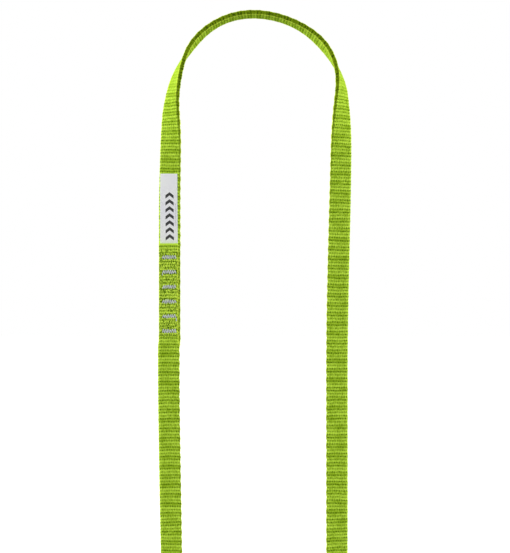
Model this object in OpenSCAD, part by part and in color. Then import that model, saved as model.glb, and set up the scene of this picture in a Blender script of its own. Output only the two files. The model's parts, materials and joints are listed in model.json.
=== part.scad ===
// Sewn sling: one length of flat webbing closed into a loop by a lapped splice.
// Six bar tacks join the two layers, and a folded cloth label is caught in the lap.
//
// Frame: Z is up, X runs across the loop and the front faces -Y. The origin is on the
// inner face of the webbing at the middle of the top bight, where the sling hangs.
// The webbing stands on edge round both bights and turns to lie flat along the legs.

/* [Webbing] */
// Width of the webbing
webbing_w = 16; // [14:0.5:18]
// Thickness of one layer
webbing_t = 3.2; // [2.6:0.1:3.4]
// Rounding of the woven edges
edge_r = 0.9; // [0.5:0.1:1.1]

/* [Loop] */
// Height between the inner faces of the two bights
eye_h = 530; // [500:5:700]
// Distance from the middle to the right leg, just below its shoulder
right_shoulder_x = 66; // [60:0.1:70]
// Distance from the middle to the left leg, just below its shoulder
left_shoulder_x = 61.2; // [58:0.1:70]
// Distance from the middle to the right leg at half height
right_leg_x = 62.6; // [58:0.1:66]
// Distance from the middle to the left leg in the splice
left_leg_x = 62.3; // [58:0.1:66]
// Depth from which the left leg hangs straight down
left_straight_depth = 150; // [120:1:165]
// Distance by which the lower left leg comes nearer the middle on its way down
lower_drift = 2.4; // [0:0.1:4]
// Depth of the right shoulder below the top bight
right_shoulder_depth = 59; // [50:1:80]
// Depth of the left shoulder below the top bight
left_shoulder_depth = 76; // [70:1:95]
// Fullness of the right shoulder
right_rise = 39; // [30:1:50]
// Fullness of the left shoulder
left_rise = 46; // [30:1:60]
// Fullness of the right half of the bight at its middle
right_bow = 31; // [28:1:48]
// Fullness of the left half of the bight at its middle
left_bow = 36; // [28:1:48]

/* [Turn of the webbing from edge-on to flat] */
// Depth at which the webbing starts to turn
turn_start = 15; // [5:1:20]
// Depth at which the main turn ends
turn_end = 104; // [80:1:120]
// Angle of the main turn
main_turn = 71; // [55:1:80]
// Depth at which the last of the turn starts
settle_start = 76; // [60:1:100]
// Depth at which the webbing lies quite flat
flat_depth = 169; // [150:1:169]
// Angle by which both sides of the top bight show more of their inner face
bight_lean = 4; // [0:1:8]
// Angle by which the turn is held back at the right shoulder
shoulder_lag = 6; // [0:1:10]
// Angle by which the turn runs ahead at the left shoulder
shoulder_lead = 5; // [0:1:10]

/* [Splice] */
// Depth of the cut end of the front layer
front_end_depth = 169.3; // [160:0.1:180]
// Depth of the first bar tack
first_tack_depth = 179.7; // [175:0.1:190]
// Distance between bar tacks
tack_pitch = 10.96; // [10:0.01:12]
// Number of bar tacks
tack_count = 6; // [6:1:6]
// Distance by which the front layer lies further out than the back layer
lap_slip = 0.4; // [0:0.1:1]
// Depth of the cut end of the back layer
back_end_depth = 246.2; // [244:0.1:255]
// Width of a bar tack, across the webbing
tack_w = 10.7; // [8:0.1:12]
// Height of a bar tack, along the webbing
tack_h = 3.3; // [2.5:0.1:4]
// Stitches across one bar tack
stitch_count = 12; // [8:2:20]
// Thickness of the sewing thread
thread_d = 0.6; // [0.3:0.05:0.7]

/* [Label] */
// Width of the label
label_w = 13; // [10:0.1:14]
// Length of the label above the splice
label_h = 51; // [40:0.5:54]
// Thickness of the folded label
label_t = 0.4; // [0.3:0.1:0.5]
// Distance of the label's centre line from that of the webbing, towards its outer edge
label_offset = 0.4; // [0:0.1:1]
// Length of label caught between the layers
label_tuck = 14; // [12:1:18]

/* [Fold] */
// Distance of the folding axis behind the middle of the loop
fold_back = 8.5; // [8.5:0.1:12]
// Gap left between the two folding halves
fold_gap = 0.2; // [0.1:0.05:0.4]

/* [Hidden] */

lime = "yellowgreen";
label_white = "whitesmoke";
thread_grey = "darkgray";

fold_z = -eye_h/2;
// Each spliced layer lies half its thickness and half the label away from the middle
layer_y = (webbing_t + label_t)/2;
// Depths over which a leg eases from the middle of the loop into its spliced layer
lap_start = 100;
lap_end = 165;
// Height over which the lower left leg comes back to the middle of the loop
lap_return = 60;
// Depth at which the lean of the bight ends, and depths between which the left shoulder leads
bight_lean_end = 36;
lead_start = 22;
lead_end = 68;
// Stations along a leg and along each half of a bight
leg_steps = 30;
bow_steps = 34;
// Length of leg before its first station, where it carries on from a bight
leg_start = 6;
// Slack between the label and the webbing, where it is caught and where it lies free
tab_slack = 0.02;
flap_slack = 0.15;
// The label hinges just above the cut end of the front layer
label_hinge_gap = 0.8;
label_edge_r = 0.15;
rounding_steps = 3;
leg_fn = 16;
// The thread is a little thicker where it turns into the webbing
turn_d = 1.2*thread_d;

// ---- Curves ----------------------------------------------------------------------

// Eases from 0 to 1 while x goes from 0 to 1
function ease(x) = let (c = min(max(x, 0), 1)) c*c*(3 - 2*c);

// Point on a cubic curve with four control points
function curve(p, u) =
    pow(1 - u, 3)*p[0] + 3*pow(1 - u, 2)*u*p[1] + 3*(1 - u)*u*u*p[2] + pow(u, 3)*p[3];

// Direction along the same curve
function heading(p, u) =
    let (d = pow(1 - u, 2)*(p[1] - p[0]) + 2*(1 - u)*u*(p[2] - p[1]) + u*u*(p[3] - p[2]))
    d/norm(d);

// Angle of the webbing at a depth below its bight: 0 stands on edge and 90 lies flat
function turn(depth) =
    main_turn*ease((depth - turn_start)/(turn_end - turn_start))
    + (90 - main_turn)*ease((depth - settle_start)/(flat_depth - settle_start));

// Rises from 0 to 1 and falls back to 0 while a depth goes from one value to another
function swell(depth, from, to) = pow(sin(180*min(max((depth - from)/(to - from), 0), 1)), 2);

// Angle added to the turn along each half of a bight
right_lean = function (depth)
    -bight_lean*swell(depth, 0, bight_lean_end) - shoulder_lag*swell(depth, 0, right_shoulder_depth);
left_lean = function (depth)
    shoulder_lead*swell(depth, lead_start, lead_end) - bight_lean*swell(depth, 0, bight_lean_end);
no_lean = function (depth) 0;

// A station is [centre of the section, direction across the webbing, direction out of it].
// The path runs anticlockwise seen from the front, so the outside is on its right.
function station(xz, dir, angle, y) =
    let (out = [dir[1], 0, -dir[0]], front = [0, -1, 0])
    [
        [xz[0], y, xz[1]],
        front*cos(angle) - out*sin(angle),
        out*cos(angle) + front*sin(angle)
    ];

// ---- Path of the webbing ---------------------------------------------------------

// Middle of the webbing at the top and at the bottom of the loop
top_apex = [0, webbing_t/2];
bottom_apex = [0, -eye_h - webbing_t/2];
// The bottom bight is even, so its halves take the mean of the two top halves
bottom_shoulder_z = (right_shoulder_depth + left_shoulder_depth)/2 - eye_h;
bottom_rise = (right_rise + left_rise)/2;
bottom_bow = (right_bow + left_bow)/2;

// Depth of a height below the nearer bight
function depth(z) = min(-z, z + eye_h);

// Value at a height, easing from one value at one height to another value further down
function drift(from, from_z, to, to_z, z) = from + (to - from)*ease((from_z - z)/(from_z - to_z));

// Where each stretch hangs across the loop
front_leg_x = left_leg_x + lap_slip;
bottom_left_x = front_leg_x - lower_drift;
right_x = function (z) drift(right_shoulder_x, -right_shoulder_depth, right_leg_x, fold_z, z);
left_x = function (z) -drift(left_shoulder_x, -left_shoulder_depth, left_leg_x, -left_straight_depth, z);
front_x = function (z) -front_leg_x;
lower_right_x = function (z) right_leg_x;
lower_left_x = function (z) -drift(front_leg_x, fold_z, bottom_left_x, bottom_shoulder_z, z);

// How far each stretch stands from the middle of the loop, along Y
centred = function (z) 0;
back_layer = function (z) layer_y*ease((-z - lap_start)/(lap_end - lap_start));
front_layer = function (z) -layer_y;
return_layer = function (z) -layer_y*(1 - ease((fold_z - z)/lap_return));

// Stations along a leg, from one height to another
function leg(x_at, y_at, z_from, z_to, steps = leg_steps) = [
    for (i = [0:steps])
        let (z = z_from + (z_to - z_from)*i/steps)
        station([x_at(z), z], [0, sign(z_to - z_from)], turn(depth(z)), y_at(z))
];

// Stations round half of a bight
function half_bight(points, lean_at, steps = bow_steps) = [
    for (i = [1:steps])
        let (u = i/steps, xz = curve(points, u), d = depth(xz[1]))
        station(xz, heading(points, u), turn(d) + lean_at(d), 0)
];

function top_bight_path() = concat(
    leg(right_x, centred, fold_z + fold_gap/2, -right_shoulder_depth),
    half_bight([
        [right_shoulder_x, -right_shoulder_depth],
        [right_shoulder_x, right_rise - right_shoulder_depth],
        [right_bow, top_apex[1]],
        top_apex
    ], right_lean),
    half_bight([
        top_apex,
        [-left_bow, top_apex[1]],
        [-left_shoulder_x, left_rise - left_shoulder_depth],
        [-left_shoulder_x, -left_shoulder_depth]
    ], left_lean),
    leg(left_x, back_layer, -left_shoulder_depth - leg_start, -back_end_depth)
);

function bottom_bight_path() = concat(
    leg(lower_left_x, return_layer, fold_z - fold_gap/2, bottom_shoulder_z),
    half_bight([
        [-bottom_left_x, bottom_shoulder_z],
        [-bottom_left_x, bottom_shoulder_z - bottom_rise],
        [-bottom_bow, bottom_apex[1]],
        bottom_apex
    ], no_lean),
    half_bight([
        bottom_apex,
        [bottom_bow, bottom_apex[1]],
        [right_leg_x, bottom_shoulder_z - bottom_rise],
        [right_leg_x, bottom_shoulder_z]
    ], no_lean),
    leg(lower_right_x, centred, bottom_shoulder_z + leg_start, fold_z - fold_gap/2)
);

// ---- Solids ----------------------------------------------------------------------

// Rounded rectangle, anticlockwise, as [across, through] points
function strip_section(w, t, r) = [
    for (corner = [0:3], i = [0:rounding_steps - 1])
        let (
            angle = 90*(corner + i/(rounding_steps - 1)),
            right_side = corner == 0 || corner == 3 ? 1 : -1,
            top_side = corner < 2 ? 1 : -1
        )
        [right_side*(w/2 - r) + r*cos(angle), top_side*(t/2 - r) + r*sin(angle)]
];

// Solid strip that follows stations, shifted across and outwards from them
module strip(stations, w, t, r, shift = [0, 0]) {
    section = strip_section(w, t, r);
    n = len(section);
    last = (len(stations) - 1)*n;
    polyhedron(
        points = [
            for (s = stations, p = section)
                s[0] + s[1]*(p[0] + shift[0]) + s[2]*(p[1] + shift[1])
        ],
        faces = concat(
            [[for (k = [0:n - 1]) k]],
            [
                for (i = [0:len(stations) - 2], k = [0:n - 1], half = [0, 1])
                    let (a = i*n + k, b = i*n + (k + 1)%n)
                    half == 0 ? [a, a + n, b + n] : [a, b + n, b]
            ],
            [[for (k = [n - 1:-1:0]) last + k]]
        )
    );
}

module webbing_top_bight() {
    color(lime) strip(top_bight_path(), webbing_w, webbing_t, edge_r);
}

module webbing_bottom_bight() {
    color(lime) strip(bottom_bight_path(), webbing_w, webbing_t, edge_r);
}

module webbing_front_end() {
    color(lime)
        strip(leg(front_x, front_layer, -front_end_depth, fold_z + fold_gap/2), webbing_w, webbing_t, edge_r);
}

// Part of the label that is sewn in between the two layers
module label_tab() {
    left_edge = left_x(-front_end_depth) - label_offset - label_w/2;
    color(label_white)
        translate([left_edge, tab_slack - label_t/2, -front_end_depth - label_tuck])
            cube([label_w, label_t - 2*tab_slack, label_tuck + label_hinge_gap/2]);
}

// Free part of the label, lying against the outside of the webbing
module label_flap() {
    bottom = label_hinge_gap - front_end_depth;
    color(label_white)
        strip(
            leg(left_x, back_layer, bottom + label_h, bottom),
            label_w,
            label_t,
            label_edge_r,
            [-label_offset, webbing_t/2 + label_t/2 + flap_slack]
        );
}

// One thread of a bar tack: a dense zigzag on the face and a leg into the webbing at
// each of its turns. It is drawn on the XY plane with the legs pointing down.
module zigzag_thread() {
    pitch = (tack_w - turn_d)/stitch_count;
    reach = tack_h - turn_d;
    stitch_l = norm([pitch, reach]);
    stitch_angle = atan2(reach, pitch);
    for (i = [0:stitch_count]) {
        x = pitch*(i - stitch_count/2);
        y = reach/2*(i%2 == 0 ? -1 : 1);
        translate([x, y, -webbing_t])
            cylinder(h = webbing_t + turn_d, d = turn_d, $fn = leg_fn);
        if (i < stitch_count)
            translate([x, y, 0])
                rotate([0, 0, i%2 == 0 ? stitch_angle : -stitch_angle])
                    translate([0, -thread_d/2, 0])
                        cube([stitch_l, thread_d, thread_d]);
    }
}

function tack_z(i) = -first_tack_depth - (i - 1)*tack_pitch;

// Needle thread of a tack, on the front face
module needle_thread(i) {
    color(thread_grey)
        translate([left_x(tack_z(i)), -layer_y - webbing_t/2, tack_z(i)])
            rotate([90, 0, 0])
                zigzag_thread();
}

// Bobbin thread of a tack, on the back face
module bobbin_thread(i) {
    color(thread_grey)
        translate([left_x(tack_z(i)), layer_y + webbing_t/2, tack_z(i)])
            rotate([-90, 0, 0])
                zigzag_thread();
}

webbing_top_bight();
webbing_bottom_bight();
webbing_front_end();
label_tab();
label_flap();
for (i = [1:tack_count]) {
    needle_thread(i);
    bobbin_thread(i);
}
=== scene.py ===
"""Sewn webbing sling: woven webbing, folded cloth label and six bar tacks, round the CAD frame."""
import json
import math

import bpy
import mathutils
import numpy as np
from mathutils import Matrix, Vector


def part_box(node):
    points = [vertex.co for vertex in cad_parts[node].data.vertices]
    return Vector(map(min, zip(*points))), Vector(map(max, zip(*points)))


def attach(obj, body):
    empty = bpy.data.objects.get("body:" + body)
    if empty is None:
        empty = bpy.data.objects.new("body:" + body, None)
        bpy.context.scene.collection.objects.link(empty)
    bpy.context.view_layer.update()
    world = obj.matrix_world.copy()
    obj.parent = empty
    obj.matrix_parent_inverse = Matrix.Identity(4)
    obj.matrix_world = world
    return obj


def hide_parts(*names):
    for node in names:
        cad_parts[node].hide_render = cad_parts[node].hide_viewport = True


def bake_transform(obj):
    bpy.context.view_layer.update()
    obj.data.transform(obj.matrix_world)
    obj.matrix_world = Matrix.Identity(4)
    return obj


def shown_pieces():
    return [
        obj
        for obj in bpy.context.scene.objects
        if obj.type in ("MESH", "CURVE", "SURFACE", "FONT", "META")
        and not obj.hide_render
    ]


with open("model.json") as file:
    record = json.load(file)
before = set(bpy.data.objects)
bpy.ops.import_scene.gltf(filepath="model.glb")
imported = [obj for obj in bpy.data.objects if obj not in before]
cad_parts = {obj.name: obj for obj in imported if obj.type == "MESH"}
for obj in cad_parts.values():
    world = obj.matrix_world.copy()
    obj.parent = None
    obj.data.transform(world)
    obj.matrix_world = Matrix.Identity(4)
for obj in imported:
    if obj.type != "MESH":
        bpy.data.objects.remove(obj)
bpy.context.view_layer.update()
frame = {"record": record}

MM = 0.001

# ---- Driving dimensions, in millimetres -------------------------------------------------

record = frame["record"]
joints = {joint["name"]: joint for joint in record["behaviour"]["joints"]}
mounts = {mount["name"]: mount for mount in record["mounts"]}


def cad_box(node):
    """Lowest and highest corners of a CAD node, in millimetres."""
    low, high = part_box(node)
    return np.array(low) / MM, np.array(high) / MM


front_low, front_high = cad_box("webbing_front_end")
tack_boxes = [cad_box(f"needle_thread_{number}") for number in range(1, 7)]
flap_low, flap_high = cad_box("label_flap")
tab_low, tab_high = cad_box("label_tab")

# Section of the webbing, and how far each spliced layer lies from the middle of the loop
WEBBING_W = 16.0
WEBBING_T = front_high[1] - front_low[1]
EDGE_R = 0.9
LAYER_Y = -(front_high[1] + front_low[1]) / 2

# Height of the eye, the axis of the half fold and the cut ends of the front and back layers
EYE_H = -mounts["bottom_bight"]["pos_m"][2] / MM
FOLD_Y, FOLD_Z = (value / MM for value in joints["half_fold"]["pos_m"][1:])
FRONT_END_Z = front_high[2]
BACK_END_DEPTH = 246.2

# Distances of the legs from the middle. The front layer lies LAP_SLIP further out than the back one,
# and the lower left leg comes in by LOWER_DRIFT on its way down.
RIGHT_LEG_X, LEFT_LEG_X = 62.6, 62.3
LEFT_STRAIGHT_DEPTH = 150.0
LAP_SLIP, LOWER_DRIFT = 0.4, 2.4
FRONT_LEG_X = LEFT_LEG_X + LAP_SLIP
BOTTOM_LEFT_X = FRONT_LEG_X - LOWER_DRIFT

# Each leg meets its shoulder at (distance from the middle, depth). The curve from there to the apex
# of the bight has its control points RISE beyond the shoulder and BOW to the side of the apex.
RIGHT_SHOULDER = (66.0, 59.0)
LEFT_SHOULDER = (61.2, 76.0)
RIGHT_RISE, LEFT_RISE = 39.0, 46.0
RIGHT_BOW, LEFT_BOW = 31.0, 36.0
# A leg that carries on from such a curve starts this far past the curve's end
JOIN_STEP = 0.5

# Turn of the webbing from edge-on in the bights to flat on the legs: angles, and depths where each
# part of the turn starts and ends
TURN_START, TURN_END, MAIN_TURN = 15.0, 104.0, 71.0
SETTLE_START, FLAT_DEPTH = 76.0, 169.0
# Angles by which the top bight leans, its right shoulder lags and its left shoulder leads, and the
# depths where this starts and ends
BIGHT_LEAN, BIGHT_LEAN_END = 4.0, 36.0
SHOULDER_LAG = 6.0
SHOULDER_LEAD, LEAD_START, LEAD_END = 5.0, 22.0, 68.0
# Depths between which the left leg eases behind the front layer, and height over which it comes back
LAP_START, LAP_END, LAP_RETURN = 100.0, 165.0, 60.0

# Weave: rows of floats along the webbing and columns across it
ROW_PITCH = 2.33
COLUMNS = 8
COLUMN_PITCH = (WEBBING_W - 2 * EDGE_R) / COLUMNS

# ---- Path of the webbing ----------------------------------------------------------------


def ease(x):
    """0 to 1 with flat ends."""
    x = np.clip(x, 0.0, 1.0)
    return x * x * (3 - 2 * x)


def depth_of(z):
    """Depth of a height below the nearer bight."""
    return np.minimum(-z, z + EYE_H)


def turn_of(depth):
    """Angle of the webbing: 0 stands on edge and 90 lies flat."""
    main = MAIN_TURN * ease((depth - TURN_START) / (TURN_END - TURN_START))
    return main + (90 - MAIN_TURN) * ease((depth - SETTLE_START) / (FLAT_DEPTH - SETTLE_START))


def swell(depth, start, end):
    """Rises from 0 to 1 and falls back to 0 while a depth goes from start to end."""
    return np.sin(math.pi * np.clip((depth - start) / (end - start), 0, 1)) ** 2


def right_lean(depth):
    """The right shoulder lags behind the turn."""
    return -BIGHT_LEAN * swell(depth, 0, BIGHT_LEAN_END) - SHOULDER_LAG * swell(depth, 0, RIGHT_SHOULDER[1])


def left_lean(depth):
    """The left shoulder runs ahead of the turn."""
    return SHOULDER_LEAD * swell(depth, LEAD_START, LEAD_END) - BIGHT_LEAN * swell(depth, 0, BIGHT_LEAN_END)


def no_lean(depth):
    """The bottom bight keeps to the turn."""
    return 0 * depth


def leg(x_at, y_at, z_from, z_to, count=300):
    """Points and angles straight down or up a leg."""
    z = np.linspace(z_from, z_to, count)
    points = np.stack([x_at(z), y_at(z), z], axis=1)
    return points, turn_of(depth_of(z))


def half_bight(corners, lean_at, count=600):
    """Points and angles round half of a bight, along a cubic curve in XZ."""
    u = np.linspace(0, 1, count)[1:, None]
    a, b, c, d = (np.array(corner, float) for corner in corners)
    xz = (1 - u) ** 3 * a + 3 * (1 - u) ** 2 * u * b + 3 * (1 - u) * u * u * c + u ** 3 * d
    depth = depth_of(xz[:, 1])
    points = np.stack([xz[:, 0], 0 * xz[:, 0], xz[:, 1]], axis=1)
    return points, turn_of(depth) + lean_at(depth)


top_apex = (0.0, WEBBING_T / 2)
bottom_apex = (0.0, -EYE_H - WEBBING_T / 2)
bottom_shoulder_z = (RIGHT_SHOULDER[1] + LEFT_SHOULDER[1]) / 2 - EYE_H
bottom_rise = (RIGHT_RISE + LEFT_RISE) / 2
bottom_bow = (RIGHT_BOW + LEFT_BOW) / 2


def drift(start, start_z, end, end_z):
    """A place across the loop that eases from start to end while the height goes down."""
    return lambda z: start + (end - start) * ease((start_z - z) / (start_z - end_z))


def steady(place):
    """The same place at every height."""
    return lambda z: np.full_like(z, place)


right_x = drift(RIGHT_SHOULDER[0], -RIGHT_SHOULDER[1], RIGHT_LEG_X, FOLD_Z)
left_x = drift(-LEFT_SHOULDER[0], -LEFT_SHOULDER[1], -LEFT_LEG_X, -LEFT_STRAIGHT_DEPTH)
lower_left_x = drift(-FRONT_LEG_X, FOLD_Z, -BOTTOM_LEFT_X, bottom_shoulder_z)
middle_y = steady(0.0)


def back_layer_y(z):
    """The left leg eases behind the front layer."""
    return LAYER_Y * ease((-z - LAP_START) / (LAP_END - LAP_START))


def return_y(z):
    """The lower left leg comes back to the middle of the loop."""
    return -LAYER_Y * (1 - ease((FOLD_Z - z) / LAP_RETURN))


class Path:
    """A length of webbing: centres, directions across and out of it, and length along it."""

    def __init__(self, *stretches):
        points = np.concatenate([points for points, _ in stretches])
        angle = np.radians(np.concatenate([angle for _, angle in stretches]))
        step = np.linalg.norm(np.diff(points, axis=0), axis=1)
        keep = np.concatenate([[True], step > 1e-6])
        self.points, self.angle = points[keep], angle[keep]
        step = np.linalg.norm(np.diff(self.points, axis=0), axis=1)
        self.length_at = np.concatenate([[0.0], np.cumsum(step)])
        self.length = self.length_at[-1]

    def at(self, s):
        """Centre, direction across and direction out of the webbing at lengths s."""
        centre = np.stack([np.interp(s, self.length_at, self.points[:, i]) for i in range(3)], axis=1)
        angle = np.interp(s, self.length_at, self.angle)[:, None]
        # Headings come from points this far ahead and behind
        reach = 1.0
        ahead = np.stack([np.interp(s + reach, self.length_at, self.points[:, i]) for i in (0, 2)], axis=1)
        behind = np.stack([np.interp(s - reach, self.length_at, self.points[:, i]) for i in (0, 2)], axis=1)
        heading = ahead - behind
        heading /= np.linalg.norm(heading, axis=1)[:, None]
        out_xz = np.stack([heading[:, 1], 0 * heading[:, 0], -heading[:, 0]], axis=1)
        front = np.array([0.0, -1.0, 0.0])
        across = front * np.cos(angle) - out_xz * np.sin(angle)
        out = out_xz * np.cos(angle) + front * np.sin(angle)
        return centre, across, out


top_path = Path(
    leg(right_x, middle_y, FOLD_Z, -RIGHT_SHOULDER[1]),
    half_bight(
        [
            (RIGHT_SHOULDER[0], -RIGHT_SHOULDER[1]),
            (RIGHT_SHOULDER[0], RIGHT_RISE - RIGHT_SHOULDER[1]),
            (RIGHT_BOW, top_apex[1]),
            top_apex,
        ],
        right_lean,
    ),
    half_bight(
        [
            top_apex,
            (-LEFT_BOW, top_apex[1]),
            (-LEFT_SHOULDER[0], LEFT_RISE - LEFT_SHOULDER[1]),
            (-LEFT_SHOULDER[0], -LEFT_SHOULDER[1]),
        ],
        left_lean,
    ),
    leg(left_x, back_layer_y, -LEFT_SHOULDER[1] - JOIN_STEP, -BACK_END_DEPTH),
)
bottom_path = Path(
    leg(lower_left_x, return_y, FOLD_Z, bottom_shoulder_z),
    half_bight(
        [
            (-BOTTOM_LEFT_X, bottom_shoulder_z),
            (-BOTTOM_LEFT_X, bottom_shoulder_z - bottom_rise),
            (-bottom_bow, bottom_apex[1]),
            bottom_apex,
        ],
        no_lean,
    ),
    half_bight(
        [
            bottom_apex,
            (bottom_bow, bottom_apex[1]),
            (RIGHT_LEG_X, bottom_shoulder_z - bottom_rise),
            (RIGHT_LEG_X, bottom_shoulder_z),
        ],
        no_lean,
    ),
    leg(steady(RIGHT_LEG_X), middle_y, bottom_shoulder_z + JOIN_STEP, FOLD_Z),
)
front_path = Path(leg(steady(-FRONT_LEG_X), steady(-LAYER_Y), FRONT_END_Z, FOLD_Z))

# ---- Mesh helpers -----------------------------------------------------------------------


def lattice_noise(x, y, seed):
    """Smooth random values from -1 to 1, one random value for each whole x and y."""
    size = 256
    table = np.random.RandomState(seed).uniform(-1, 1, (size, size))
    x0, y0 = np.floor(x).astype(int), np.floor(y).astype(int)
    fx, fy = ease(x - x0), ease(y - y0)

    def corner(i, j):
        return table[(x0 + i) % size, (y0 + j) % size]

    low = corner(0, 0) * (1 - fx) + corner(1, 0) * fx
    high = corner(0, 1) * (1 - fx) + corner(1, 1) * fx
    return low * (1 - fy) + high * fy


def grid_mesh(name, points, attributes):
    """A closed tube from points[station, around], with point attributes of the same shape."""
    stations, around = points.shape[:2]
    vertices = points.reshape(-1, 3) * MM
    i, k = np.meshgrid(np.arange(stations - 1), np.arange(around), indexing="ij")
    a = i * around + k
    b = i * around + (k + 1) % around
    quads = np.stack([a, b, b + around, a + around], axis=-1).reshape(-1, 4)
    faces = quads.tolist()
    faces.append(list(range(around - 1, -1, -1)))
    faces.append([(stations - 1) * around + n for n in range(around)])
    mesh = bpy.data.meshes.new(name)
    mesh.from_pydata(vertices.tolist(), [], faces)
    for key, values in attributes.items():
        if values.ndim == 3:
            layer = mesh.attributes.new(key, "FLOAT_VECTOR", "POINT")
            layer.data.foreach_set("vector", values.reshape(-1))
        else:
            layer = mesh.attributes.new(key, "FLOAT", "POINT")
            layer.data.foreach_set("value", values.reshape(-1))
    mesh.shade_smooth()
    piece = bpy.data.objects.new(name, mesh)
    bpy.context.scene.collection.objects.link(piece)
    return piece


def section(width, thickness, radius, per_face, per_edge):
    """Flat strip with rounded edges: offsets across and through, and the outward normals."""
    points, normals = [], []
    flat = width / 2 - radius
    for side in (1, -1):
        for n in range(per_face):
            points.append((side * flat * (1 - 2 * n / per_face), side * thickness / 2))
            normals.append((0.0, side))
        for n in range(per_edge):
            angle = math.pi / 2 * side + math.pi * n / per_edge
            points.append((-side * flat + radius * math.cos(angle), thickness / 2 * math.sin(angle)))
            normal = np.array([math.cos(angle) / radius, 2 * math.sin(angle) / thickness])
            normals.append(tuple(normal / np.linalg.norm(normal)))
    return np.array(points), np.array(normals)


# ---- Webbing ----------------------------------------------------------------------------

# The weave repeats every three rows: how deep each groove is, and how far its gaps are staggered
REPEAT = 3
GROOVE_SHARE = np.array([1.0, 0.9, 0.7])
GROOVE_STAGGER = np.array([0.0, 0.5, 0.2])
ROW_GROOVE = 0.34
COLUMN_CREASE = 0.14
# Floats bulge between grooves and creases: the lower this power, the narrower both are
BULGE_POWER = 0.6
# A row groove has this share of its depth over a float, and this much more at a gap
SHALLOW_SHARE, GAP_SHARE = 0.25, 0.95
# Height of the floats over the plain section, and how much single floats differ
FLOAT_RISE, FLOAT_UNEVEN = 0.07, 0.05
# How far rows and columns wander, in rows and columns, growing from nothing over this length of each end
ROW_WANDER, ROW_JITTER, COLUMN_WANDER = 0.10, 0.05, 0.10
WANDER_FADE = 10.0
# How clearly the weave shows: almost fully in the bights, little where the shoulders pull it smooth and
# fully on the legs
BIGHT_RELIEF, SMOOTH_RELIEF = 0.95, 0.30
SMOOTH_START, SMOOTH_FROM, SMOOTH_TO, SMOOTH_END = 14.0, 32.0, 46.0, 66.0
# The woven edges stand this much over the plain section and reach this far onto the faces. They are
# scalloped by the repeat and by each row, the plain edge less by the repeat than the selvedge.
EDGE_RISE, EDGE_LAP = 0.10, 0.5
REPEAT_SCALLOP, ROW_SCALLOP = 0.19, 0.12
PLAIN_EDGE_SHARE = 0.4
# Where in the repeat the weft laps furthest out, how much its loops slant and how deep their valleys are
LAP_PHASE, LOOP_SLANT, LOOP_VALLEY = 0.12, 0.25, 1.2
# How squarely a surface faces sideways where the selvedge starts to show, and over how much it does so
SIDE_START, SIDE_SOFT = 0.64, 0.28
# Widths of the dark selvedge and of the rim on each face that gets a painted highlight, and of their soft
# limits
SELVEDGE_W, SELVEDGE_SOFT = 1.7, 0.7
RIM_W, RIM_SOFT = 2.4, 1.4
# Share of the selvedge's colour on the faces, where it laps them at each repeat and all along the splice
LAP_SHADE, SPLICE_SHADE = 0.55, 0.4
# Bar tacks press the cloth down and draw it in by this share of its width. The cloth between them
# puckers and loses part of its weave.
TACK_DIP, TACK_NARROWING = 0.45, 0.018
PUCKER, PUCKER_LENGTH, PUCKER_WIDTH = 0.34, 1.7, 1.9
WEAVE_LOST = 0.55
# Share of the puckering on the face that carries no thread
UNSEWN_SHARE = 0.6
# The dip fades along the webbing over a share of the tack's height, and across it from a margin past
# the tack's ends
DIP_SPREAD, DIP_MARGIN, DIP_SOFT = 0.6, 1.2, 1.5
# A cut end is fused over about this length, and sinks this far
FUSED_LENGTH, FUSED_SINK = 1.5, 0.25
# The seam draws the inner and outer edges of the front layer in by this much, from PULL_LEAD below the
# back layer's cut end and fully PULL_FADE above that
INNER_PULL, OUTER_PULL = 1.1, 0.6
PULL_LEAD, PULL_FADE = 2.0, 10.0
# The splice looks sewn from above the first tack to below the last one, with soft limits
SPLICE_ABOVE, SPLICE_ABOVE_SOFT = 9.0, 5.0
SPLICE_BELOW, SPLICE_BELOW_SOFT = 6.0, 4.0

tack_z = np.array([(low[2] + high[2]) / 2 for low, high in tack_boxes])
tack_w = tack_boxes[0][1][0] - tack_boxes[0][0][0]
tack_h = tack_boxes[0][1][2] - tack_boxes[0][0][2]


def splice_share(z):
    """1 among the bar tacks and 0 away from them."""
    below_top = ease((tack_z[0] + SPLICE_ABOVE - z) / SPLICE_ABOVE_SOFT)
    above_foot = ease((z - tack_z[-1] + SPLICE_BELOW) / SPLICE_BELOW_SOFT)
    return below_top * above_foot


def relief_at(depth):
    """How clearly the weave shows at a depth below the nearer bight."""
    smoothing = ease((depth - SMOOTH_START) / (SMOOTH_FROM - SMOOTH_START))
    clearing = ease((depth - SMOOTH_TO) / (SMOOTH_END - SMOOTH_TO))
    return BIGHT_RELIEF + (SMOOTH_RELIEF - BIGHT_RELIEF) * smoothing + (1 - SMOOTH_RELIEF) * clearing


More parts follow.
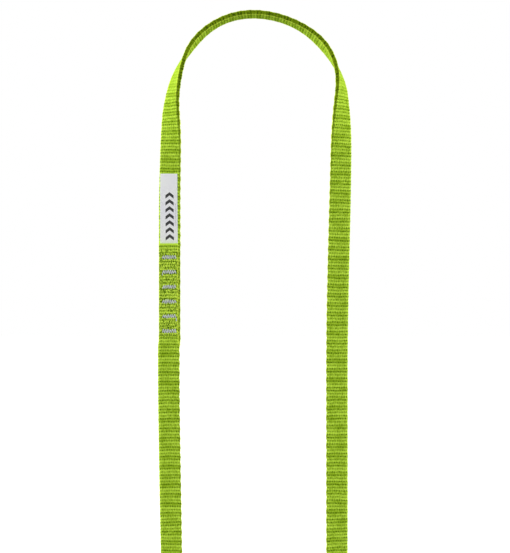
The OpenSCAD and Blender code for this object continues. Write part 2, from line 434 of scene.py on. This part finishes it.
def webbing(name, path, samples, per_column, per_edge, outer_sewn=False, inner_sewn=False):
    """A length of woven webbing along a path, with its relief and the marks its material needs."""
    rows = REPEAT * round(path.length / (REPEAT * ROW_PITCH))
    s = np.linspace(0, path.length, rows * samples + 1)
    centre, across, out = path.at(s)
    profile, normal = section(WEBBING_W, WEBBING_T, EDGE_R, per_column * COLUMNS, per_edge)
    offset_across, offset_out = profile[None, :, 0], profile[None, :, 1]
    normal_across, normal_out = normal[None, :, 0], normal[None, :, 1]

    # Place on the cloth in rows and columns, a little uneven away from the ends. Here and below, side
    # shifts the noise so that the two faces differ.
    u = np.repeat(s[:, None] / path.length * rows, len(profile), axis=1)
    v = np.repeat(offset_across / COLUMN_PITCH + COLUMNS / 2, len(s), axis=0)
    side = np.where(normal_out > 0, 1.0, -1.0) + 0 * u
    loose = ease(np.minimum(s, path.length - s) / WANDER_FADE)[:, None]
    wander = ROW_WANDER * lattice_noise(u / 7, v / 4 + 9 * side, 1)
    u = u + loose * (wander + ROW_JITTER * lattice_noise(u / 2, v, 2))
    v = v + loose * COLUMN_WANDER * lattice_noise(u / 5, v / 2 + 9 * side, 3)

    # Floats stand up between the row grooves and the column creases, with gaps along each groove
    row = np.round(u).astype(int) % REPEAT
    gap = 0.5 - 0.5 * np.cos(2 * math.pi * (v - GROOVE_STAGGER[row]))
    groove = 1 - np.abs(np.sin(math.pi * u)) ** BULGE_POWER
    groove = groove * GROOVE_SHARE[row] * (SHALLOW_SHARE + GAP_SHARE * gap)
    crease = 1 - np.abs(np.sin(math.pi * v)) ** BULGE_POWER
    float_lift = FLOAT_UNEVEN * lattice_noise(np.floor(u), np.floor(v) + 40 * side, 4)
    relief = relief_at(depth_of(centre[:, 2]))[:, None]
    woven = float_lift - ROW_GROOVE * groove - COLUMN_CREASE * crease * (1 - groove)
    height = FLOAT_RISE + relief * woven

    # Weft loops round the woven edges, and lap onto the faces once in every repeat
    edge = ease((np.abs(offset_across) - WEBBING_W / 2 + EDGE_R + EDGE_LAP) / EDGE_R)
    lap = np.cos(2 * math.pi * (u / REPEAT - LAP_PHASE))
    slanted = u + LOOP_SLANT * offset_out
    scallop = REPEAT_SCALLOP * np.where(offset_across > 0, 1.0, PLAIN_EDGE_SHARE)
    ripples = 2 * np.abs(np.sin(math.pi * slanted)) - LOOP_VALLEY
    loops = EDGE_RISE + scallop * lap + ROW_SCALLOP * ripples
    height = height * (1 - edge) + loops * edge

    z = centre[:, 2][:, None]
    splice = np.zeros_like(u)
    if outer_sewn or inner_sewn:
        sewn_side = 1 if outer_sewn else -1
        on_left = centre[:, 0][:, None] < 0
        splice = splice_share(z) * on_left * np.where(side == sewn_side, 1.0, UNSEWN_SHARE)
        x = s[:, None] / PUCKER_LENGTH
        y = offset_across / PUCKER_WIDTH + 20 * side
        pucker = lattice_noise(x, y, 5) + 0.6 * lattice_noise(2.1 * x, 2.1 * y, 6)
        puckered = PUCKER * 0.5 * (pucker - 1) * splice * (1 - edge)
        height = height * (1 - WEAVE_LOST * splice) + puckered
        spread = DIP_SPREAD * tack_h
        near_tack = on_left * sum(np.exp(-(((z - tack) / spread) ** 2)) for tack in tack_z)
        over_tack = ease((tack_w / 2 + DIP_MARGIN - np.abs(offset_across)) / DIP_SOFT)
        height = height - TACK_DIP * near_tack * over_tack * (side == sewn_side)
        offset_across = offset_across * (1 - TACK_NARROWING * near_tack)

    if outer_sewn:
        share = offset_across / WEBBING_W + 0.5
        sewn_down = ease((z + BACK_END_DEPTH + PULL_LEAD) / PULL_FADE)
        offset_across = offset_across - sewn_down * (INNER_PULL * share - OUTER_PULL * (1 - share))

    # Cut ends are fused smooth and a little thinner
    fused = np.zeros_like(u)
    if outer_sewn:
        fused = ease(1.3 - s[:, None] / FUSED_LENGTH) + fused
    if inner_sewn:
        fused = ease(1.3 - (path.length - s[:, None]) / FUSED_LENGTH) + fused
    height = height * (1 - fused) - FUSED_SINK * fused * fused

    def lay(shares, directions):
        return shares[:, :, None] * directions[:, None, :]

    points = (
        centre[:, None, :]
        + lay(offset_across + height * normal_across, across)
        + lay(offset_out + height * normal_out, out)
    )

    # Marks for the material: the selvedge is the edge on the positive side and where it laps the faces
    on_side = ease((normal_across - SIDE_START) / SIDE_SOFT)
    lapped = LAP_SHADE * ease(lap) + SPLICE_SHADE * splice
    lapped = lapped * ease((offset_across - WEBBING_W / 2 + SELVEDGE_W) / SELVEDGE_SOFT)
    attributes = {
        "strap": np.stack([u, v, side], axis=-1),
        "selvedge": np.maximum(on_side, lapped) + 0 * u,
        # Bands along both edges that get a painted highlight and painted sheen
        "rim": ease((np.abs(offset_across) - WEBBING_W / 2 + RIM_W) / RIM_SOFT) + 0 * u,
        "relief": relief + 0 * u,
        "splice": splice,
        "fused": fused,
    }
    return grid_mesh(name, points, attributes)


webbing_top = webbing("webbing_top", top_path, 5, 4, 4, inner_sewn=True)
webbing_bottom = webbing("webbing_bottom", bottom_path, 5, 4, 4)
webbing_front = webbing("webbing_front", front_path, 8, 6, 8, outer_sewn=True)

# Fix each piece's place into its mesh and hide the CAD part it stands for
for piece, node in (
    (webbing_top, "webbing_top_bight"),
    (webbing_bottom, "webbing_bottom_bight"),
    (webbing_front, "webbing_front_end"),
):
    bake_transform(piece)
    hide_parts(node)

# ---- Label ------------------------------------------------------------------------------

LABEL_T = tab_high[1] - tab_low[1]
LABEL_W = tab_high[0] - tab_low[0]
LABEL_TOP_Z = flap_high[2]
LABEL_OFFSET = (tab_low[0] + tab_high[0]) / 2 - left_x(FRONT_END_Z)
LABEL_GRID = 0.5
LABEL_COLUMNS = 24
# The free end stands a little off the webbing and the cloth ripples slightly
LABEL_LIFT = 0.5
LABEL_RIPPLE, RIPPLE_LENGTH, RIPPLE_WIDTH = 0.12, 9.0, 6.0
# The top end is a fold: a swelling just below the end, which itself is rounded off
ROLL_SWELL, ROLL_PLACE, ROLL_REACH = 0.5, 0.9, 0.8
ROUNDED_END = 0.6
# Share of the thickness that is lost along the pressed side edges
PRESSED_SHARE = 0.35


def label():
    """One strip folded double: free on the outer face of the webbing and caught in the splice below."""
    path = Path(leg(left_x, back_layer_y, LABEL_TOP_Z, tab_low[2]))
    flap_length = LABEL_TOP_Z - flap_low[2]
    s = np.append(np.arange(0, path.length, LABEL_GRID), path.length)
    centre, across, out = path.at(s)
    profile, normal = section(LABEL_W, LABEL_T, LABEL_T / 2, LABEL_COLUMNS, 4)
    x, y = profile[None, :, 0], profile[None, :, 1]
    up = np.clip(1 - s / flap_length, 0, 1)[:, None]
    ripple = LABEL_RIPPLE * up * lattice_noise(s[:, None] / RIPPLE_LENGTH + 3, x / RIPPLE_WIDTH + 5, 11)
    shift = (WEBBING_T + LABEL_T) / 2 + LABEL_LIFT * up ** 2 + ripple
    roll = 1 + ROLL_SWELL * np.exp(-(((s[:, None] - ROLL_PLACE) / ROLL_REACH) ** 2))
    ending = np.sqrt(1 - np.clip(1 - s[:, None] / ROUNDED_END, 0, 0.98) ** 2)
    pressed = 1 - PRESSED_SHARE * ease((np.abs(x) - LABEL_W / 2 + 1.0) / 0.8)
    y = y * roll * ending * pressed
    points = (
        centre[:, None, :]
        + (x + LABEL_OFFSET + 0 * y)[:, :, None] * across[:, None, :]
        + (y + shift)[:, :, None] * out[:, None, :]
    )
    along = np.repeat((flap_length - s)[:, None], len(profile), axis=1)
    side = np.where(normal[None, :, 1] > 0, 1.0, -1.0) + 0 * along
    return grid_mesh("label", points, {"place": np.stack([x + 0 * along, along, side], axis=-1)})


label_piece = label()
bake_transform(label_piece)
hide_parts("label_tab", "label_flap")

# ---- Bar tacks --------------------------------------------------------------------------

STITCHES = 12
THREAD_D = 0.72
# The thread is laid from three plies, which take this length for one turn and have shallow valleys
PLY_TURN = 1.5
PLY_VALLEY = 0.13
# Length over which a cut end of thread is rounded off
THREAD_TIP = 0.2
SEGMENTS_PER_STITCH = 14
AROUND_THREAD = 12
# A tack sits this share of the dip in the cloth below the face
TACK_SEAT = 0.6
# How unevenly the stitches turn, across the webbing and along it
JITTER_X, JITTER_Z = 0.22, 0.35
# A stitch starts this share of the thread's thickness under the face, and rises by the second share
STITCH_SINK, STITCH_RISE = 0.35, 0.75
# Lengths of the loose ends of needle threads at the left and right of some tacks, by tack number
LOOSE_TAILS = {2: (1.4, 0.0), 5: (0.0, 2.2)}
NO_TAILS = (0.0, 0.0)
TAIL_POINTS = 16
# A tail sways by this share of its length, and rises by this many thicknesses of the thread
TAIL_SWAY, TAIL_RISE = 0.12, 1.3


def thread_tube(name, line):
    """A three-ply thread along a line of points in millimetres."""
    line = np.array(line)
    step = np.linalg.norm(np.diff(line, axis=0), axis=1)
    length_at = np.concatenate([[0.0], np.cumsum(step)])
    heading = np.gradient(line, axis=0)
    heading /= np.linalg.norm(heading, axis=1)[:, None]
    side = np.cross(heading, np.array([0.0, 1.0, 0.0]))
    # A heading straight through the cloth gives no side of its own
    unclear = np.linalg.norm(side, axis=1) < 0.2
    side[unclear] = np.array([1.0, 0.0, 0.0])
    side /= np.linalg.norm(side, axis=1)[:, None]
    up = np.cross(side, heading)
    around = np.linspace(0, 2 * math.pi, AROUND_THREAD, endpoint=False)[None, :]
    twist = 2 * math.pi * length_at[:, None] / PLY_TURN
    ply = np.abs(np.sin(1.5 * around + 0.5 * twist))
    radius = THREAD_D / 2 * (1 - PLY_VALLEY * ply)
    from_end = np.minimum(length_at, length_at[-1] - length_at)[:, None]
    radius = radius * np.sqrt(np.clip(from_end / THREAD_TIP, 0.1, 1))
    points = (
        line[:, None, :]
        + (radius * np.cos(around))[:, :, None] * side[:, None, :]
        + (radius * np.sin(around))[:, :, None] * up[:, None, :]
    )
    return grid_mesh(name, points, {"ply": ply})


def loose_tail(start, facing, length):
    """Points down a loose thread end that rises off its tack and hangs in a slight curve."""
    points = []
    for step in range(1, TAIL_POINTS + 1):
        share = step / TAIL_POINTS
        sway = TAIL_SWAY * length * math.sin(math.pi * share)
        rise = facing * TAIL_RISE * THREAD_D * ease(3 * share)
        points.append([start[0] + sway, start[1] + rise, start[2] - length * share])
    return points


def tack_line(centre, facing, seed, tails=NO_TAILS):
    """The zigzag of one thread over a face; facing is -1 on the front and 1 on the back."""
    chance = np.random.RandomState(seed)
    points = []
    pitch = (tack_w - THREAD_D) / STITCHES
    reach = tack_h - THREAD_D
    previous = None
    for number in range(STITCHES + 1):
        x = (number - STITCHES / 2) * pitch + chance.uniform(-JITTER_X, JITTER_X)
        z = reach / 2 * (-1 if number % 2 == 0 else 1) + chance.uniform(-JITTER_Z, JITTER_Z)
        turn = np.array([x, z])
        if previous is not None:
            for step in range(SEGMENTS_PER_STITCH):
                share = step / SEGMENTS_PER_STITCH
                arch = math.sin(math.pi * share) ** 0.5
                over = previous * (1 - share) + turn * share
                lift = -STITCH_SINK * THREAD_D + STITCH_RISE * THREAD_D * arch
                points.append([centre[0] + over[0], centre[1] + facing * lift, centre[2] + over[1]])
        previous = turn
    sunk = centre[1] - STITCH_SINK * facing * THREAD_D
    points.append([centre[0] + previous[0], sunk, centre[2] + previous[1]])
    left_tail, right_tail = tails
    if left_tail:
        points = loose_tail(points[0], facing, left_tail)[::-1] + points
    if right_tail:
        points = points + loose_tail(points[-1], facing, right_tail)
    return points


for number, (low, high) in enumerate(tack_boxes, start=1):
    middle_x, middle_z = (low[0] + high[0]) / 2, (low[2] + high[2]) / 2
    for kind, facing in (("needle", -1), ("bobbin", 1)):
        face_y = facing * (LAYER_Y + WEBBING_T / 2 - TACK_SEAT * TACK_DIP)
        seed = 20 * number + facing
        tails = LOOSE_TAILS.get(number, NO_TAILS) if kind == "needle" else NO_TAILS
        line = tack_line((middle_x, face_y, middle_z), facing, seed, tails)
        thread = thread_tube(f"{kind}_thread_{number}_sewn", line)
        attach(thread, "upper_loop")
        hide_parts(f"{kind}_thread_{number}")

# ---- Materials --------------------------------------------------------------------------


class Graph:
    """A node material under construction. Most methods add a node and return its output."""

    def __init__(self, name):
        self.material = bpy.data.materials.new(name)
        self.material.use_nodes = True
        self.tree = self.material.node_tree
        self.shader = self.tree.nodes["Principled BSDF"]

    def put(self, node, socket, value):
        """Links or sets one input of a node."""
        target = node.inputs[socket]
        if isinstance(value, bpy.types.NodeSocket):
            self.tree.links.new(value, target)
        elif isinstance(value, tuple) and len(value) == 3 and target.type == "RGBA":
            target.default_value = (*value, 1.0)
        else:
            target.default_value = value

    def attribute(self, name):
        """A point attribute of the mesh, as a number."""
        node = self.tree.nodes.new("ShaderNodeAttribute")
        node.attribute_name = name
        return node.outputs["Fac"]

    def axes(self, name):
        """The three numbers of a vector attribute."""
        node = self.tree.nodes.new("ShaderNodeAttribute")
        node.attribute_name = name
        split = self.tree.nodes.new("ShaderNodeSeparateXYZ")
        self.put(split, 0, node.outputs["Vector"])
        return split.outputs[0], split.outputs[1], split.outputs[2]

    def math(self, operation, a, b=0.0, c=0.0):
        """The result of a maths operation on up to three numbers."""
        node = self.tree.nodes.new("ShaderNodeMath")
        node.operation = operation
        for socket, value in enumerate((a, b, c)):
            self.put(node, socket, value)
        return node.outputs[0]

    def product(self, *values):
        """All the numbers multiplied together."""
        result = values[0]
        for value in values[1:]:
            result = self.math("MULTIPLY", result, value)
        return result

    def clamped(self, value):
        """A number kept between 0 and 1."""
        node = self.tree.nodes.new("ShaderNodeClamp")
        self.put(node, 0, value)
        return node.outputs[0]

    def fade(self, value, start, end, low=0.0, high=1.0):
        """Smooth step of value from low at start to high at end."""
        node = self.tree.nodes.new("ShaderNodeMapRange")
        node.interpolation_type = "SMOOTHSTEP"
        for socket, number in enumerate((value, start, end, low, high)):
            self.put(node, socket, number)
        return node.outputs[0]

    def place(self, x, y, z=0.0):
        """A vector from three numbers."""
        node = self.tree.nodes.new("ShaderNodeCombineXYZ")
        for socket, value in enumerate((x, y, z)):
            self.put(node, socket, value)
        return node.outputs[0]

    def noise(self, vector, scale, detail=2.0, roughness=0.5):
        """Smooth noise, mostly between 0.3 and 0.7."""
        node = self.tree.nodes.new("ShaderNodeTexNoise")
        self.put(node, "Vector", vector)
        self.put(node, "Scale", scale)
        self.put(node, "Detail", detail)
        self.put(node, "Roughness", roughness)
        return node.outputs["Fac"]

    def chance(self, vector):
        """One random number from 0 to 1 for each place."""
        node = self.tree.nodes.new("ShaderNodeTexWhiteNoise")
        self.put(node, "Vector", vector)
        return node.outputs["Value"]

    def object_place(self):
        """The place on the object, in metres."""
        return self.tree.nodes.new("ShaderNodeTexCoord").outputs["Object"]

    def mix(self, share, low, high):
        """Colour low where share is 0 and high where it is 1."""
        node = self.tree.nodes.new("ShaderNodeMix")
        node.data_type = "RGBA"
        self.put(node, 0, share)
        self.put(node, 6, low)
        self.put(node, 7, high)
        return node.outputs[2]

    def facing(self, blend):
        """0 where a surface faces the viewer, rising towards 1 where it turns away."""
        node = self.tree.nodes.new("ShaderNodeLayerWeight")
        self.put(node, "Blend", blend)
        return node.outputs["Facing"]

    def bump(self, height, distance, strength=1.0, under=None):
        """A normal tilted by a height, over another normal if one is given."""
        node = self.tree.nodes.new("ShaderNodeBump")
        self.put(node, "Height", height)
        self.put(node, "Distance", distance)
        self.put(node, "Strength", strength)
        if under is not None:
            self.put(node, "Normal", under)
        return node.outputs[0]

    def finish(self, colour, roughness, normal, specular=0.25, sheen=0.0):
        """Links the surface and returns the material."""
        self.put(self.shader, "Base Color", colour)
        self.put(self.shader, "Roughness", roughness)
        self.put(self.shader, "Normal", normal)
        self.put(self.shader, "Specular IOR Level", specular)
        self.put(self.shader, "Sheen Weight", sheen)
        self.put(self.shader, "Sheen Roughness", 0.4)
        return self.material


LIME = (0.31, 0.50, 0.018)
BRIGHT_LIME = (0.58, 0.86, 0.070)
# Painted shade in the grooves, creases and gaps, the dark of the weft in the gaps, and the tone of the
# darkest filaments
SHADE_AND_WEFT_GREEN = (0.088, 0.175, 0.002)
PAINTED_SHEEN = (0.88, 1.0, 0.10)
SELVEDGE_OLIVE = (0.165, 0.255, 0.004)
# Painted shade in the gaps between the selvedge's loops
SELVEDGE_LOOP_SHADE = (0.03, 0.06, 0.001)
# Painted shade and painted highlights on the puckered cloth among the bar tacks
MOTTLE_SHADE = (0.030, 0.088, 0.001)
MOTTLE_HIGHLIGHT = (0.72, 1.0, 0.09)
# Brightness of the three bands of floats in a repeat, and the brightness where no weave shows
BAND_LIGHT = (0.30, 0.80, 0.55)
MEAN_LIGHT = 0.55
# Half length of a dark gap in rows, and half its width in columns
GAP_LENGTH, GAP_WIDTH = 0.29, 0.42
# Share of the mottled colours among the bar tacks, the pulled weave with painted highlights and shade on
# its puckers, and how much brighter the rims are painted, as a painted highlight along the edges
MOTTLE_SHARE = 0.9
RIM_LIGHT = 0.45
# Shares of the dark colour in the gaps, weft with painted shade, and of the darkest filaments
GAP_WEFT_AND_SHADE, FILAMENT_DARKNESS = 0.95, 0.24
# Heights of the bumps of filaments and of fuzz, in metres, and how many waves of fuzz go to a metre
FILAMENT_BUMP, FUZZ_BUMP = 0.00035, 0.00010
FUZZ_SCALE = 2600.0


def webbing_material():
    """Lime warp floats with darker gaps and painted shade in the row grooves, one dark woven edge, and
    painted highlights on the rims and the fused cut ends.
    """
    g = Graph("woven_nylon")
    u, v, side = g.axes("strap")

    def cloth_noise(along, over, detail, roughness, scale=1.0):
        """Noise with this many waves to a row along the webbing and to a column across it."""
        vector = g.place(g.math("MULTIPLY", u, along), g.math("MULTIPLY", v, over), side)
        return g.noise(vector, scale, detail, roughness)

    from_groove = g.math("PINGPONG", u, 0.5)
    from_crease = g.math("PINGPONG", v, 0.5)
    row = g.math("MODULO", g.math("ROUND", u), REPEAT)
    band = g.math("MODULO", g.math("FLOOR", u), REPEAT)

    def by_number(number, values):
        """One of three values, chosen by a whole number."""
        picks = [g.product(g.math("COMPARE", number, i, 0.1), value) for i, value in enumerate(values)]
        return g.math("ADD", g.math("ADD", picks[0], picks[1]), picks[2])

    relief = g.attribute("relief")
    groove_depth = by_number(row, GROOVE_SHARE.tolist())

    # Short dark gaps where the weft shows between two rows of floats, darkened further with painted shade
    # in their pits
    shifted = g.math("SUBTRACT", v, by_number(row, GROOVE_STAGGER.tolist()))
    from_gap = g.math("PINGPONG", g.math("ADD", shifted, 0.5), 0.5)
    gap_luck = g.chance(g.place(g.math("ROUND", u), g.math("FLOOR", shifted), side))
    gap_reach = g.math(
        "ADD",
        g.math("POWER", g.math("DIVIDE", from_groove, GAP_LENGTH), 2.0),
        g.math("POWER", g.math("DIVIDE", from_gap, GAP_WIDTH), 2.0),
    )
    frayed = cloth_noise(2.2, 4.5, 2.0, 0.6)
    gap_reach = g.math("ADD", gap_reach, g.fade(frayed, 0.3, 0.7, -0.5, 0.5))
    gap = g.product(
        g.fade(gap_reach, 0.35, 1.25, 1.0, 0.0),
        g.fade(gap_luck, 0.0, 0.7, 0.45, 1.0),
        groove_depth,
        relief,
    )
    # Bands, patches and single floats differ in tone
    patch = cloth_noise(0.35, 0.22, 2.0, 0.6)
    float_tone = cloth_noise(1.1, 1.5, 3.0, 0.7)
    light = g.math("ADD", by_number(band, BAND_LIGHT), g.fade(patch, 0.3, 0.7, -0.3, 0.2))
    light = g.math("ADD", light, g.fade(float_tone, 0.3, 0.7, -0.45, 0.45))
    # Painted highlight: the rims along both edges are lighter
    light = g.math("ADD", light, g.product(g.attribute("rim"), RIM_LIGHT))
    light = g.math("MULTIPLY_ADD", g.math("SUBTRACT", light, MEAN_LIGHT), relief, MEAN_LIGHT)
    cloth = g.mix(g.clamped(light), LIME, BRIGHT_LIME)
    # Among the bar tacks the floats are pulled out of line, and the puckered cloth is mottled with painted
    # highlights and painted shade
    spot = cloth_noise(1.3, 1.6, 3.0, 0.7, scale=1.3)
    mottle = g.mix(g.fade(spot, 0.41, 0.52), MOTTLE_SHADE, MOTTLE_HIGHLIGHT)
    cloth = g.mix(g.product(g.attribute("splice"), MOTTLE_SHARE), cloth, mottle)

    # Painted shade in the row grooves and the column creases; the gaps hold the dark weft and painted shade
    groove_shade = g.product(g.fade(from_groove, 0.05, 0.3, 0.30, 0.0), groove_depth)
    cloth = g.mix(g.product(groove_shade, relief), cloth, SHADE_AND_WEFT_GREEN)
    cloth = g.mix(g.product(g.fade(from_crease, 0.0, 0.14, 0.22, 0.0), relief), cloth, SHADE_AND_WEFT_GREEN)
    cloth = g.mix(g.product(gap, GAP_WEFT_AND_SHADE), cloth, SHADE_AND_WEFT_GREEN)

    # One edge is the knitted selvedge, olive and darker than the faces, with painted shade in the gaps
    # between its loops. It shows less where it turns away from the viewer, where the painted shade gives
    # way to the lit tips of the loops.
    knit = cloth_noise(2.6, 2.2, 2.0, 0.5)
    knit = g.math("ADD", knit, g.fade(from_groove, 0.05, 0.30, -0.05, 0.05))
    woven_edge = g.mix(g.fade(knit, 0.38, 0.56), SELVEDGE_LOOP_SHADE, SELVEDGE_OLIVE)
    squarely_seen = g.fade(g.facing(0.5), 0.15, 0.85, 1.0, 0.15)
    cloth = g.mix(g.product(g.attribute("selvedge"), squarely_seen), cloth, woven_edge)

    # Painted sheen: the rims turn paler where they are seen at a grazing angle, and the fused cut ends get
    # a painted highlight where they catch the light
    edge_sheen = g.product(g.attribute("rim"), g.fade(g.facing(0.5), 0.35, 0.75, 0.0, 0.95))
    cloth = g.mix(edge_sheen, cloth, PAINTED_SHEEN)
    # Painted highlight: the fused cut ends are brightened where they catch the light from above
    cloth = g.mix(g.attribute("fused"), cloth, BRIGHT_LIME)

    # Fine filaments run along each float, except where the cloth is fused
    filament = cloth_noise(1.3, 11.0, 3.0, 0.6)
    fuzz = g.noise(g.object_place(), FUZZ_SCALE, 2.0, 0.6)
    cloth = g.mix(g.fade(filament, 0.38, 0.62, 0.0, FILAMENT_DARKNESS), cloth, SHADE_AND_WEFT_GREEN)
    unfused = g.math("SUBTRACT", 1.0, g.product(g.attribute("fused"), 0.8))
    normal = g.bump(filament, FILAMENT_BUMP, g.product(unfused, 0.9))
    normal = g.bump(fuzz, FUZZ_BUMP, g.product(unfused, 0.5), normal)
    rough = g.fade(g.attribute("fused"), 0.0, 1.0, 0.72, 0.42)
    return g.finish(cloth, rough, normal, specular=0.0)


# Printed mark: a stack of chevrons, measured from the middle and the foot of the free part
MARK_X = 0.6
MARK_LOW = 3.6
MARK_W = 6.2
MARK_PITCH = 5.2
MARK_STROKE = 2.5
MARK_SLOPE = 0.75
MARK_COUNT = 7
# The stack stops just short of where its next chevron would start
MARK_END_GAP = 0.01
# Column of small ticks beside it
TICK_X, TICK_W = 4.6, 1.2
TICK_LOW, TICK_HIGH = 12.0, 29.0
TICK_PITCH = 0.9

LABEL_WHITE = (0.80, 0.81, 0.80)
LABEL_SHADE = (0.76, 0.76, 0.80)
LABEL_WEFT = (0.55, 0.56, 0.56)
TICK_GREY = (0.25, 0.26, 0.26)
INK = (0.012, 0.013, 0.013)
# Spacing of the ribs of the cloth, and their height in metres
RIB_PITCH, RIB_BUMP = 0.45, 0.00006


def label_material():
    """Satin cloth printed with a stack of plain chevrons and a column of small grey ticks."""
    g = Graph("printed_satin")
    x, y, side = g.axes("place")
    outer = g.math("GREATER_THAN", side, 0.0)

    # Chevrons: a slanted band that repeats along the label, inside a rectangle
    from_middle = g.math("ABSOLUTE", g.math("SUBTRACT", x, MARK_X))
    climb = g.math("ADD", g.math("SUBTRACT", y, MARK_LOW), g.product(from_middle, MARK_SLOPE))
    band = g.math("MODULO", climb, MARK_PITCH)
    inked = g.product(
        g.math("LESS_THAN", band, MARK_STROKE),
        g.math("LESS_THAN", from_middle, MARK_W / 2),
        g.math("GREATER_THAN", climb, 0.0),
        g.math("LESS_THAN", climb, MARK_COUNT * MARK_PITCH - MARK_END_GAP),
        outer,
    )
    # Ticks: short cross lines of uneven length
    tick_row = g.math("FLOOR", g.math("DIVIDE", y, TICK_PITCH))
    tick_end = g.math("MULTIPLY_ADD", g.chance(g.place(tick_row, 3.0)), TICK_W * 0.6, TICK_X + TICK_W * 0.4)
    ticked = g.product(
        g.math("LESS_THAN", g.math("MODULO", y, TICK_PITCH), TICK_PITCH * 0.5),
        g.math("GREATER_THAN", x, TICK_X),
        g.math("LESS_THAN", x, tick_end),
        g.math("GREATER_THAN", y, TICK_LOW),
        g.math("LESS_THAN", y, TICK_HIGH),
        outer,
    )
    soft = g.noise(g.place(g.math("MULTIPLY", x, 0.12), g.math("MULTIPLY", y, 0.07), side), 1.0, 2.0, 0.5)
    cloth = g.mix(g.fade(soft, 0.3, 0.7), LABEL_WHITE, LABEL_SHADE)
    weft = g.noise(g.place(g.math("MULTIPLY", x, 9.0), g.math("MULTIPLY", y, 1.2), side), 1.0, 2.0, 0.6)
    cloth = g.mix(g.product(weft, 0.14), cloth, LABEL_WEFT)
    cloth = g.mix(g.product(ticked, 0.55), cloth, TICK_GREY)
    cloth = g.mix(g.product(inked, 0.97), cloth, INK)
    ribs = g.math("SINE", g.product(y, 2 * math.pi / RIB_PITCH))
    normal = g.bump(g.math("ADD", g.product(ribs, 0.5), weft), RIB_BUMP, 0.7)
    return g.finish(cloth, 0.48, normal, sheen=0.15)


THREAD_SHADE = (0.48, 0.52, 0.54)
THREAD_GREY = (0.74, 0.78, 0.81)
THREAD_VALLEY_SHADE = (0.13, 0.15, 0.15)
# Waves to the metre of the thread's tone and of its fibres, and the height of the fibres in metres
TONE_SCALE, FIBRE_SCALE = 900.0, 5200.0
FIBRE_BUMP = 0.00008


def thread_material():
    """Twisted grey polyester with painted shade in the valleys between its plies."""
    g = Graph("sewing_thread")
    ply = g.attribute("ply")
    place = g.object_place()
    tone = g.noise(place, TONE_SCALE, 2.0, 0.5)
    cloth = g.mix(g.fade(tone, 0.35, 0.65), THREAD_SHADE, THREAD_GREY)
    # Painted shade in the valleys between the plies
    cloth = g.mix(g.fade(ply, 0.45, 1.0, 0.0, 0.55), cloth, THREAD_VALLEY_SHADE)
    fibre = g.noise(place, FIBRE_SCALE, 2.0, 0.6)
    return g.finish(cloth, 0.5, g.bump(fibre, FIBRE_BUMP, 0.6), sheen=0.2)


webbing_look = webbing_material()
label_look = label_material()
thread_look = thread_material()
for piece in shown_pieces():
    if piece.name.startswith("webbing"):
        look = webbing_look
    elif piece.name.startswith("label"):
        look = label_look
    else:
        look = thread_look
    piece.data.materials.append(look)

# ---- Floor, light and camera ------------------------------------------------------------

scene = bpy.context.scene
scene.view_settings.view_transform = "Standard"

# The floor lies this far below the loop; half its side is in metres
FLOOR_DROP = 30.0
FLOOR_HALF = 6.0
PAPER_LIGHT, PAPER_DARK = (0.45, 0.45, 0.45), (0.38, 0.38, 0.38)
# How bright the floor's own light and the surround are to the camera, and the surround to the cloth
FLOOR_SEEN, SURROUND_SEEN, SURROUND_LIGHT = 0.85, 1.0, 0.66
WHITE = (1.0, 1.0, 1.0)
# Side of every softbox in metres, then the place in metres and the power of each
SOFTBOX = 1.4
SOFTBOXES = {
    "left_softbox": ((-1.6, 0.30, 0.0), 33.0),
    "right_softbox": ((1.6, 0.20, 0.0), 23.0),
    "front_softbox": ((0.0, -2.0, 0.5), 13.0),
}
# The camera looks straight along Y, and sees this height in the plane of the loop
CAMERA = (1.47, -842.0, -194.0)
VIEW_HEIGHT = 412.5
SENSOR = 36.0


def white_floor():
    """A plain floor below the loop: grey to the light that reaches the cloth, white to the camera."""
    z = (bottom_apex[1] - FLOOR_DROP) * MM
    mesh = bpy.data.meshes.new("floor")
    corners = [(x * FLOOR_HALF, y * FLOOR_HALF, z) for x, y in ((-1, -1), (1, -1), (1, 1), (-1, 1))]
    mesh.from_pydata(corners, [], [(0, 1, 2, 3)])
    floor = bpy.data.objects.new("floor", mesh)
    scene.collection.objects.link(floor)
    g = Graph("floor_paper")
    grain = g.noise(g.object_place(), 60.0, 3.0)
    paper = g.mix(g.product(grain, 0.04), PAPER_LIGHT, PAPER_DARK)
    g.finish(paper, 0.9, g.bump(grain, 0.0002, 0.1))
    seen = g.tree.nodes.new("ShaderNodeLightPath").outputs["Is Camera Ray"]
    g.put(g.shader, "Emission Color", WHITE)
    g.put(g.shader, "Emission Strength", g.product(seen, FLOOR_SEEN))
    mesh.materials.append(g.material)


def white_world():
    """A white surround that the camera sees brighter than it lights the cloth."""
    world = bpy.data.worlds.new("surround")
    world.use_nodes = True
    scene.world = world
    nodes, links = world.node_tree.nodes, world.node_tree.links
    path = nodes.new("ShaderNodeLightPath")
    strength = nodes.new("ShaderNodeMix")
    strength.inputs[2].default_value = SURROUND_LIGHT
    strength.inputs[3].default_value = SURROUND_SEEN
    links.new(path.outputs["Is Camera Ray"], strength.inputs[0])
    links.new(strength.outputs[0], nodes["Background"].inputs["Strength"])
    nodes["Background"].inputs["Color"].default_value = (*WHITE, 1.0)


def soft_light(name, position, target, power):
    """A square area light that points at a target, both in metres."""
    data = bpy.data.lights.new(name, "AREA")
    data.size = SOFTBOX
    data.energy = power
    light = bpy.data.objects.new(name, data)
    light.location = position
    direction = np.array(target) - np.array(position)
    light.rotation_euler = mathutils.Vector(direction).to_track_quat("-Z", "Y").to_euler()
    scene.collection.objects.link(light)


white_floor()
white_world()
middle = (0.0, 0.0, FOLD_Z * MM)
for name, (position, power) in SOFTBOXES.items():
    soft_light(name, position, middle, power)

camera_data = bpy.data.cameras.new("camera")
camera_data.sensor_width = SENSOR
camera_data.lens = SENSOR * -CAMERA[1] / VIEW_HEIGHT
camera = bpy.data.objects.new("camera", camera_data)
camera.location = np.array(CAMERA) * MM
camera.rotation_euler = (math.pi / 2, 0, 0)
scene.collection.objects.link(camera)
scene.camera = camera
